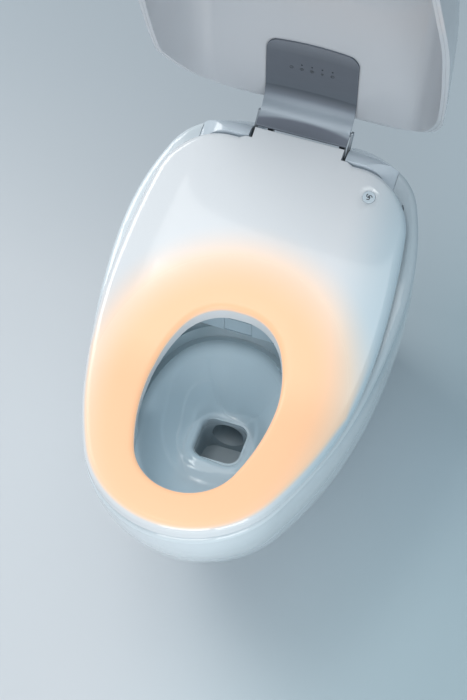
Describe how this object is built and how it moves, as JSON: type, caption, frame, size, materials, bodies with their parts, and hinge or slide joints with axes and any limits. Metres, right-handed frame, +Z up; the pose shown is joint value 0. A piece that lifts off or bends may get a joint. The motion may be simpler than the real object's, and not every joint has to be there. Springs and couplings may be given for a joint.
{
  "type": "smart toilet",
  "caption": "Floor-standing smart toilet: tapered ceramic pedestal, one-piece heated seat with a rising deck, deep upright lid on a curved metal hinge plate, round push button.",
  "frame": {"origin": "on the floor at the centre of the drain outlet", "axes": "+X towards the right of a front view, -Y towards the front of the bowl, +Z up"},
  "size_m": [0.424, 0.713, 1.175],
  "materials": {
    "china": "glossy white glaze, cool",
    "seat_white": "glossy white moulding",
    "seat_under": "satin white",
    "lid_shell": "glossy pale grey-white",
    "lid_liner": "soft gloss pale grey",
    "cover_white": "glossy white moulding",
    "brushed": "brushed stainless, cool grey",
    "steel": "plain steel",
    "brass": "turned brass",
    "heater_foil": "copper-coloured film",
    "rubber": "matte black",
    "works_white": "satin light grey",
    "works_grey": "matt grey",
    "board_green": "coated circuit board",
    "button_grey": "satin pale grey",
    "lamp": "small dark lens"
  },
  "bodies": {
    "base": {"ceramic_skirt": "china", "ceramic_bowl": "china", "ceramic_trap": "china", "outlet_connector": "works_grey", "outlet_seal": "rubber", "hinge_bracket": "steel", "hinge_pin": "steel", "rear_cover": "cover_white", "base_plate": "works_white", "unit_nose": "works_white", "wand_guide": "works_grey", "wand_motor": "works_grey", "wand_stand": "works_grey", "water_heater": "works_white", "board_tray": "works_grey", "control_board": "board_green", "lid_drive": "works_grey", "seat_drive": "works_grey", "odour_fan_case": "works_grey", "dryer_fan_case": "works_grey", "supply_inlet": "brass", "inlet_nut": "brass", "flush_valve": "works_grey", "supply_hose": "rubber", "power_gland": "works_grey", "power_supply": "works_grey", "floor_bracket_right": "steel", "floor_bracket_left": "steel"},
    "seat": {"seat_upper_shell": "seat_white", "seat_lower_shell": "seat_under", "seat_heater": "heater_foil", "flush_button_cup": "works_white", "seat_arm_right": "steel", "seat_arm_left": "steel", "seat_bumpers": "rubber"},
    "lid": {"lid_outer_shell": "lid_shell", "lid_inner_liner": "lid_liner", "hinge_plate": "brushed", "indicator_lamps": "lamp", "hinge_barrel": "steel"},
    "wand": {"wand_tip": "works_white", "wand_tube": "steel", "wand_gate": "works_white"},
    "button": {"flush_button": "button_grey"},
    "odour_wheel": {"odour_fan_impeller": "works_white"},
    "dryer_wheel": {"dryer_fan_impeller": "works_white"}
  },
  "joints": [
    {"name": "lid_hinge", "type": "hinge", "parent": "base", "child": "lid", "pos_m": [0, 0.217, 0.537], "axis": [-1, 0, 0], "range_deg": [-90, 0]},
    {"name": "seat_hinge", "type": "hinge", "parent": "base", "child": "seat", "pos_m": [0, 0.217, 0.537], "axis": [-1, 0, 0], "range_deg": [0, 88]},
    {"name": "wand_slide", "type": "slide", "parent": "base", "child": "wand", "axis": [0, -0.9397, -0.342], "range_m": [0, 0.11]},
    {"name": "button_press", "type": "slide", "parent": "seat", "child": "button", "axis": [0, 0.2793, -0.9602], "range_m": [0, 0.0015], "stiffness_N_per_m": 800},
    {"name": "odour_fan_spin", "type": "hinge", "parent": "base", "child": "odour_wheel", "pos_m": [0.115, 0, 0.4], "axis": [0, 0, 1], "continuous": true},
    {"name": "dryer_fan_spin", "type": "hinge", "parent": "base", "child": "dryer_wheel", "pos_m": [-0.115, 0, 0.4], "axis": [0, 0, 1], "continuous": true}
  ]
}
